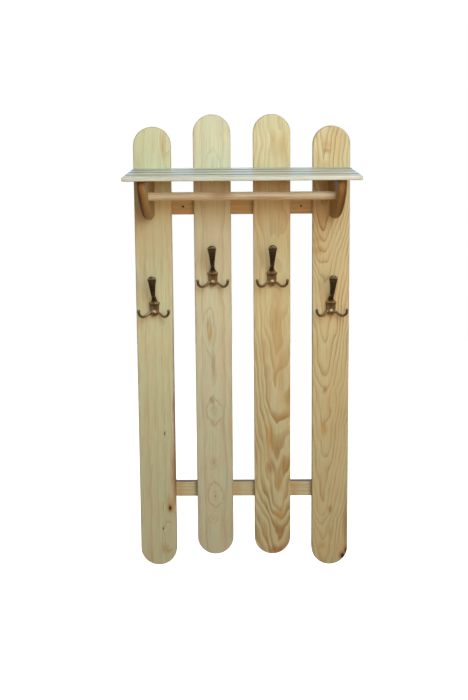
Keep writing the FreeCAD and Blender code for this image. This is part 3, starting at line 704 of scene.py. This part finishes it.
# The dark band at the top of each bracket is a painted shadow of the shelf
BRACKET_SETTINGS = dict(
    pale=srgb(206, 170, 112), late=srgb(158, 106, 56), pith=(40.0, 55.0), spacing=9.0, contrast=0.4,
    heart=0.5, gloss=0.0, specular=0.2, streaks=(((0.0, 60.0), (8.0, 160.0), 0.95, PAINTED_SHELF_SHADOW),))
# Each bracket's nose gets painted shade, most on its outer side
for bracket, seed, outer_side in (("bracket_left", 31.0, -1), ("bracket_right", 37.0, 1)):
    look = Look(seed=seed, **BRACKET_SETTINGS)
    dress(bracket, wood(f"pine_{bracket}", bracket_frame(bracket), look, Y_AXIS, nose_side=outer_side))


# Metal colours, painted light and shade among them
PATINA_AND_SHADE = srgb(68, 51, 31)
BLACKENED_HOLLOW_AND_SHADE = srgb(24, 16, 10)
RUBBED_AND_LIT_BRASS = srgb(208, 172, 128)
COPPER_AND_WARM_REFLECTION = srgb(168, 106, 58)
BOSS_GLINT = srgb(238, 214, 170)
AGED_STEEL = srgb(206, 174, 122)
PLATED_STEEL = srgb(196, 188, 168)
WORN_STEEL = srgb(92, 80, 62)

# Places on a hook in millimetres. Rises are above its lowest place. A mark comes up between two rises or
# two distances.
TIP_RISE = 113.5
TIP_DOME = 3.2
TIP_DOME_START = 98.0
TIP_HALF_WIDTH = 11.0
DARK_TIP_RISES = (112.7, 114.3)
TIP_BAND_RISES = (108.1, 109.9)
ARM_SHEEN_RISES = (70.5, 109.3)
NECK_RISE = 48.5
NECK_DISTANCES = (10.0, 3.5)
BODY_RISES = (45.0, 39.0)
PRONG_DISTANCES = (9.0, 14.0)
BOSS_GLINT_RISE = 16.5
BOSS_GLINT_REACH = (4.4, 3.4)

# Other pairs between which a mark comes up: pointiness, facing, noise, and reaches of the glint
RAISED_POINTS = (0.485, 0.545)
HOLLOW_POINTS = (0.485, 0.43)
FRONT_FACING = (-0.3, -0.8)
BODY_TOP_FACING = (0.2, 0.9)
COPPER_REFLECTION_RISE = (0.02, 0.3)
BOSS_GLINT_FADE = (1.3, 0.5)
SCREW_TOP_FACING = (-0.2, 0.35)
WORN_RISE = (0.0, 0.3)

# Noises of the metal: scales are patches for each millimetre along X, Y and Z
BLOTCH = dict(scale=(0.16, 0.16, 0.16), detail=4.0, roughness=0.6)
GRIT = dict(scale=(1.6, 1.6, 1.6), detail=3.0, roughness=0.6)
BRUSHING = dict(scale=(0.9, 0.9, 0.04), detail=2.0, roughness=0.5)
STEEL_GRIT = dict(scale=(0.8, 0.8, 0.8), detail=3.0, roughness=0.6)

# Strengths and finish
RAISED_BLOTCH = 0.04
WARM_REFLECTION_TILT = 0.012
COPPER_REFLECTION_STRENGTH = 0.4
DARK_STRENGTH = 0.85
GLINT_STRENGTH = 0.85
GLINT_METAL_LOSS = 0.55
BRASS_METALLIC = 0.85
BRASS_ROUGHNESS = 0.42
RUBBED_SMOOTHNESS = 0.14
GRIT_ROUGHNESS = 0.12
GRIT_HEIGHT = 0.6
BRASS_DEPTH = 0.4 * MM
BRASS_BUMP = 0.25
WORN_STRENGTH = 0.6
SCREW_UNDERSIDE = 0.1
STEEL_ROUGHNESS = 0.34
STEEL_GRIT_ROUGHNESS = 0.25
STEEL_DEPTH = 0.2 * MM
STEEL_BUMP = 0.3


def metal_noise(graph, place, scale, detail, roughness):
    return graph.noise(*(part * times for part, times in zip(place, scale)), detail, roughness)


def antique_brass(name):
    """Cast brass with a dark brown patina, rubbed bright on raised places, with painted light and shade.

    A painted highlight lies as a pale band under the tip of the arm, whose top edge has painted shade, and a
    painted sheen grows along the arm towards it. The neck has painted shade that makes it almost black. The
    body below it is lighter with wear and painted reflection, its faces that look up get a painted
    highlight, and the top of the boss gets the brightest painted highlight.
    """
    graph = Graph(name)
    place = graph.position()
    x, _, z = place
    raised = Term(graph, graph.node("NewGeometry").outputs["Pointiness"])
    facing = graph.normal()
    blotch = metal_noise(graph, place, **BLOTCH)
    grit = metal_noise(graph, place, **GRIT)
    brushed = metal_noise(graph, place, **BRUSHING)

    frontal = graph.ease(facing[Y_AXIS], *FRONT_FACING)
    rubbed = graph.ease(raised + blotch * RAISED_BLOTCH, *RAISED_POINTS)
    body = graph.ease(z, *BODY_RISES)
    upward = graph.ease(facing[Z_AXIS], *BODY_TOP_FACING) * body
    tip_band = graph.ease(z, *TIP_BAND_RISES) * frontal
    prong = graph.ease(abs(x), *PRONG_DISTANCES) * body
    arm_sheen = graph.ease(z, *ARM_SHEEN_RISES)
    # Share of light brass: rubbed raised places, and painted highlights on the body, on faces that look up,
    # under the tip and along the arm
    share = rubbed * 0.5 + body * 0.36 + upward * 0.3 + tip_band * 0.9 + arm_sheen * 0.22 - prong * 0.22
    share = (share + blotch * 0.3 + brushed * 0.35 + grit * 0.12).at_least(0.0).at_most(1.0)

    colour = graph.mix(PATINA_AND_SHADE, RUBBED_AND_LIT_BRASS, share)
    # Copper blotches, with a painted warm reflection that grows towards the right
    copper_and_reflection = graph.ease(blotch + x * WARM_REFLECTION_TILT, *COPPER_REFLECTION_RISE) * (body - prong)
    colour = graph.mix(colour, COPPER_AND_WARM_REFLECTION, copper_and_reflection * COPPER_REFLECTION_STRENGTH)
    # Patina blackens the hollows; the neck and the top edge of the arm's tip get painted shade
    hollow = graph.ease(raised, *HOLLOW_POINTS)
    neck = graph.ease(abs(z - NECK_RISE), *NECK_DISTANCES)
    tip = graph.ease(z + x * x * (TIP_DOME / TIP_HALF_WIDTH ** 2), *DARK_TIP_RISES)
    for dark in (hollow, neck, tip):
        colour = graph.mix(colour, BLACKENED_HOLLOW_AND_SHADE, dark * DARK_STRENGTH)
    # Painted highlight at the top of the boss, with less metal to make it brighter
    glint = graph.ease(ellipse(x, z, (0.0, BOSS_GLINT_RISE), BOSS_GLINT_REACH), *BOSS_GLINT_FADE)
    colour = graph.mix(colour, BOSS_GLINT, glint * GLINT_STRENGTH)
    graph.surface({
        "Base Color": colour,
        "Metallic": BRASS_METALLIC - glint * GLINT_METAL_LOSS,
        "Roughness": BRASS_ROUGHNESS - share * RUBBED_SMOOTHNESS + grit * GRIT_ROUGHNESS,
    })
    graph.bump(grit * GRIT_HEIGHT + blotch + brushed, BRASS_DEPTH, BRASS_BUMP)
    return graph.material


def screw_steel(name, tint, metallic=1.0, painted_lit_top=False):
    """Plated steel with worn spots. A painted lit top is bright above and has painted shade below."""
    graph = Graph(name)
    grit = metal_noise(graph, graph.position(), **STEEL_GRIT)
    colour = graph.mix(tint, WORN_STEEL, graph.ease(grit, *WORN_RISE) * WORN_STRENGTH)
    if painted_lit_top:
        upward = graph.ease(graph.normal()[Z_AXIS], *SCREW_TOP_FACING)
        colour = graph.mix(PATINA_AND_SHADE, colour, upward.between(SCREW_UNDERSIDE, 1.0))
    graph.surface({
        "Base Color": colour,
        "Metallic": metallic,
        "Roughness": STEEL_ROUGHNESS + grit * STEEL_GRIT_ROUGHNESS,
    })
    graph.bump(grit, STEEL_DEPTH, STEEL_BUMP)
    return graph.material


def add_object(name, data):
    """New object in the scene."""
    made = bpy.data.objects.new(name, data)
    bpy.context.scene.collection.objects.link(made)
    return made


# Hooks: the CAD casting with softened corners and a domed tip
HOOKS = ("hook_left_outer", "hook_left_inner", "hook_right_inner", "hook_right_outer")
CAST_FROM = "hook_left_inner"
WELD_DISTANCE = 1e-6
HOOK_VOXEL = 0.6 * MM
HOOK_SMOOTHING = 5
HOOK_SMOOTH_FACTOR = 0.5


def hook_origin(name):
    """Middle of a hook's back, at the height of its lowest place."""
    low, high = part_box(name)
    return Vector(((low.x + high.x) / 2, high.y, low.z))


def welded_copy(name):
    """Copy of a hook's CAD mesh about its origin, with its seams closed."""
    mesh = nodes[name].data.copy()
    shaper = bmesh.new()
    shaper.from_mesh(mesh)
    bmesh.ops.remove_doubles(shaper, verts=shaper.verts, dist=WELD_DISTANCE)
    bmesh.ops.translate(shaper, verts=shaper.verts, vec=-hook_origin(name))
    shaper.to_mesh(mesh)
    shaper.free()
    return mesh


def softened(mesh):
    """Copy of a mesh with even faces and soft corners."""
    blank = add_object("casting_blank", mesh)
    remesh = blank.modifiers.new("even", "REMESH")
    remesh.mode = "VOXEL"
    remesh.voxel_size = HOOK_VOXEL
    smooth = blank.modifiers.new("soft", "SMOOTH")
    smooth.iterations = HOOK_SMOOTHING
    smooth.factor = HOOK_SMOOTH_FACTOR
    bpy.context.view_layer.update()
    made = bpy.data.meshes.new_from_object(blank.evaluated_get(bpy.context.evaluated_depsgraph_get()))
    bpy.data.objects.remove(blank)
    made.polygons.foreach_set("use_smooth", [True] * len(made.polygons))
    return made


def dome_tip(mesh):
    """Lower the corners of the arm's tip, most at its end."""
    for vertex in mesh.vertices:
        share = (vertex.co.z / MM - TIP_DOME_START) / (TIP_RISE - TIP_DOME_START)
        if share > 0.0:
            vertex.co.z -= share * TIP_DOME * MM * (vertex.co.x / MM / TIP_HALF_WIDTH) ** 2


casting = softened(welded_copy(CAST_FROM))
dome_tip(casting)
casting.materials.clear()
casting.materials.append(antique_brass("antique_brass"))
for hook in HOOKS:
    piece = add_object(hook.replace("hook", "cast_hook"), casting)
    piece.location = hook_origin(hook)
    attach(piece, "root")
    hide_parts(hook)

# The hook screws get a painted highlight on top and painted shade below
dress("hook_screws", screw_steel("aged_screws", AGED_STEEL, BRASS_METALLIC, painted_lit_top=True))
for screws in ("rail_screws", "bracket_screws"):
    dress(screws, screw_steel(f"plated_{screws}", PLATED_STEEL))


# Stage: lengths are in metres
WHITE = (1.0, 1.0, 1.0, 1.0)
FLOOR_PAINT = (0.9, 0.9, 0.9, 1.0)
MATT = 0.9
FLOOR_LEVEL = -1.6
FLOOR_SIZE = 9.0


def add_stage_floor():
    """Pale floor that glows white for the camera and neither lights nor mirrors in the rack."""
    half = FLOOR_SIZE / 2
    corners = [(-half, -half, FLOOR_LEVEL), (half, -half, FLOOR_LEVEL),
               (half, half, FLOOR_LEVEL), (-half, half, FLOOR_LEVEL)]
    mesh = bpy.data.meshes.new("floor")
    mesh.from_pydata(corners, [], [range(len(corners))])
    floor = add_object("floor", mesh)
    graph = Graph("pale_floor")
    graph.surface({
        "Base Color": FLOOR_PAINT,
        "Roughness": MATT,
        "Emission Color": WHITE,
        "Emission Strength": 1.0,
    })
    mesh.materials.append(graph.material)
    floor.visible_diffuse = False
    floor.visible_glossy = False


WALL_SCREWS = next(mount["dims"] for mount in frame["record"]["mounts"] if mount["name"] == "wall_screws")
WALL_HOLE_PLACE = WALL_SCREWS["spacing_x_mm"] / 2 * MM
WALL_PATCH_MARGIN = 2.0 * MM
WALL_PATCH_RADIUS = WALL_SCREWS["hole_r_mm"] * MM + WALL_PATCH_MARGIN
WALL_PATCH_GAP = 0.5 * MM
WALL_PATCH_SIDES = 24
WALL_IN_SHADE = srgb(12, 9, 7)


def add_wall_patches():
    """Dark bits just behind the two screw holes: painted shade of a wall where it would show through."""
    graph = Graph("wall_in_shade")
    graph.surface({"Base Color": WALL_IN_SHADE, "Roughness": MATT})
    angles = [math.tau * step / WALL_PATCH_SIDES for step in range(WALL_PATCH_SIDES)]
    corners = [(WALL_PATCH_RADIUS * math.cos(angle), 0.0, WALL_PATCH_RADIUS * math.sin(angle))
               for angle in angles]
    for side in (-1, 1):
        mesh = bpy.data.meshes.new("wall_patch")
        mesh.from_pydata(corners, [], [range(len(corners))])
        mesh.materials.append(graph.material)
        patch = add_object("wall_patch", mesh)
        patch.location = (side * WALL_HOLE_PLACE, WALL_PATCH_GAP, 0.0)


# Dim room up to the first share of the way to straight behind the rack, and pale backdrop from the second
ROOM_COLOURS = ((0.88, (0.05, 0.055, 0.06, 1.0)), (0.97, (0.72, 0.88, 1.0, 1.0)))


def add_world():
    """White for the camera, and a dim room with a pale backdrop for everything else."""
    world = bpy.data.worlds.new("studio")
    bpy.context.scene.world = world
    world.use_nodes = True
    tree = world.node_tree
    tree.nodes.clear()
    direction = tree.nodes.new("ShaderNodeTexCoord")
    parts = tree.nodes.new("ShaderNodeSeparateXYZ")
    rearward = tree.nodes.new("ShaderNodeMapRange")
    sky = tree.nodes.new("ShaderNodeValToRGB")
    for element, (place, colour) in zip(sky.color_ramp.elements, ROOM_COLOURS):
        element.position = place
        element.color = colour
    room = tree.nodes.new("ShaderNodeBackground")
    white = tree.nodes.new("ShaderNodeBackground")
    white.inputs["Color"].default_value = WHITE
    path = tree.nodes.new("ShaderNodeLightPath")
    either = tree.nodes.new("ShaderNodeMixShader")
    output = tree.nodes.new("ShaderNodeOutputWorld")
    link = tree.links.new
    link(direction.outputs["Generated"], parts.inputs[0])
    link(parts.outputs["Y"], rearward.inputs["Value"])
    link(rearward.outputs["Result"], sky.inputs["Fac"])
    link(sky.outputs["Color"], room.inputs["Color"])
    link(path.outputs["Is Camera Ray"], either.inputs["Fac"])
    link(room.outputs["Background"], either.inputs[1])
    link(white.outputs["Background"], either.inputs[2])
    link(either.outputs["Shader"], output.inputs["Surface"])


# Daylight, warm room light, a glow under the shelf, two panels that only mirror, and light for the back
LIGHTS = {
    "key": dict(
        place=(0.55, -1.95, 1.2), target=(0.0, 0.0, 0.05), size=(1.3, 1.9), power=49.0,
        colour=(0.66, 0.89, 1.0)),
    "fill": dict(
        place=(0.5, -2.4, 0.15), target=(0.0, 0.0, -0.3), size=(2.0, 1.4), power=24.5,
        colour=(1.0, 0.53, 0.23), mirrored=False),
    "bounce": dict(
        place=(0.0, -0.8, -0.75), target=(0.0, 0.0, 0.08), size=(1.4, 0.4), power=0.35,
        colour=(1.0, 0.58, 0.26), mirrored=False, spread=55.0),
    "grey_panel": dict(
        place=(-1.8, -1.0, 0.0), target=(0.0, 0.0, -0.2), size=(1.4, 2.0), power=9.0,
        colour=(0.92, 1.0, 0.9), diffuse=False),
    "warm_panel": dict(
        place=(1.8, -0.9, 0.0), target=(0.0, 0.0, -0.2), size=(1.4, 2.0), power=9.0,
        colour=(1.0, 0.72, 0.46), diffuse=False),
    "behind": dict(
        place=(0.0, 2.2, 1.9), target=(0.0, 0.0, 0.0), size=(2.0, 1.6), power=60.0,
        colour=(1.0, 0.86, 0.7), mirrored=False),
}


def add_area_light(name, place, target, size, power, colour, mirrored=True, diffuse=True, spread=180.0):
    light = bpy.data.lights.new(name, "AREA")
    light.shape = "RECTANGLE"
    light.size, light.size_y = size
    light.energy = power
    light.color = colour
    light.spread = math.radians(spread)
    lamp = add_object(name, light)
    lamp.location = place
    lamp.rotation_euler = (Vector(target) - Vector(place)).to_track_quat("-Z", "Y").to_euler()
    lamp.visible_glossy = mirrored
    lamp.visible_diffuse = diffuse
    lamp.visible_camera = False


add_stage_floor()
add_wall_patches()
add_world()
for name, light in LIGHTS.items():
    add_area_light(name, **light)
bpy.context.scene.view_settings.view_transform = "Standard"


# Camera: angles are in degrees, and the focal length is in pixels of the photograph
CAMERA_PLACE = (-0.0036, -2.435, 0.301)
CAMERA_PITCH = 7.343
CAMERA_YAW = -0.401
CAMERA_ROLL = -0.445
FOCAL_PIXELS = 948.75
IMAGE_HEIGHT = 700
SENSOR_WIDTH = 36.0
LENS_SHIFT = -0.199


def turned(angle, axis):
    return Matrix.Rotation(math.radians(angle), 3, axis)


lens = bpy.data.cameras.new("camera")
lens.sensor_width = SENSOR_WIDTH
lens.lens = FOCAL_PIXELS * SENSOR_WIDTH / IMAGE_HEIGHT
lens.shift_y = LENS_SHIFT
camera = add_object("camera", lens)
turn = turned(-CAMERA_YAW, "Z") @ turned(90 - CAMERA_PITCH, "X") @ turned(CAMERA_ROLL, "Z")
camera.matrix_world = Matrix.Translation(CAMERA_PLACE) @ turn.to_4x4()
bpy.context.scene.camera = camera
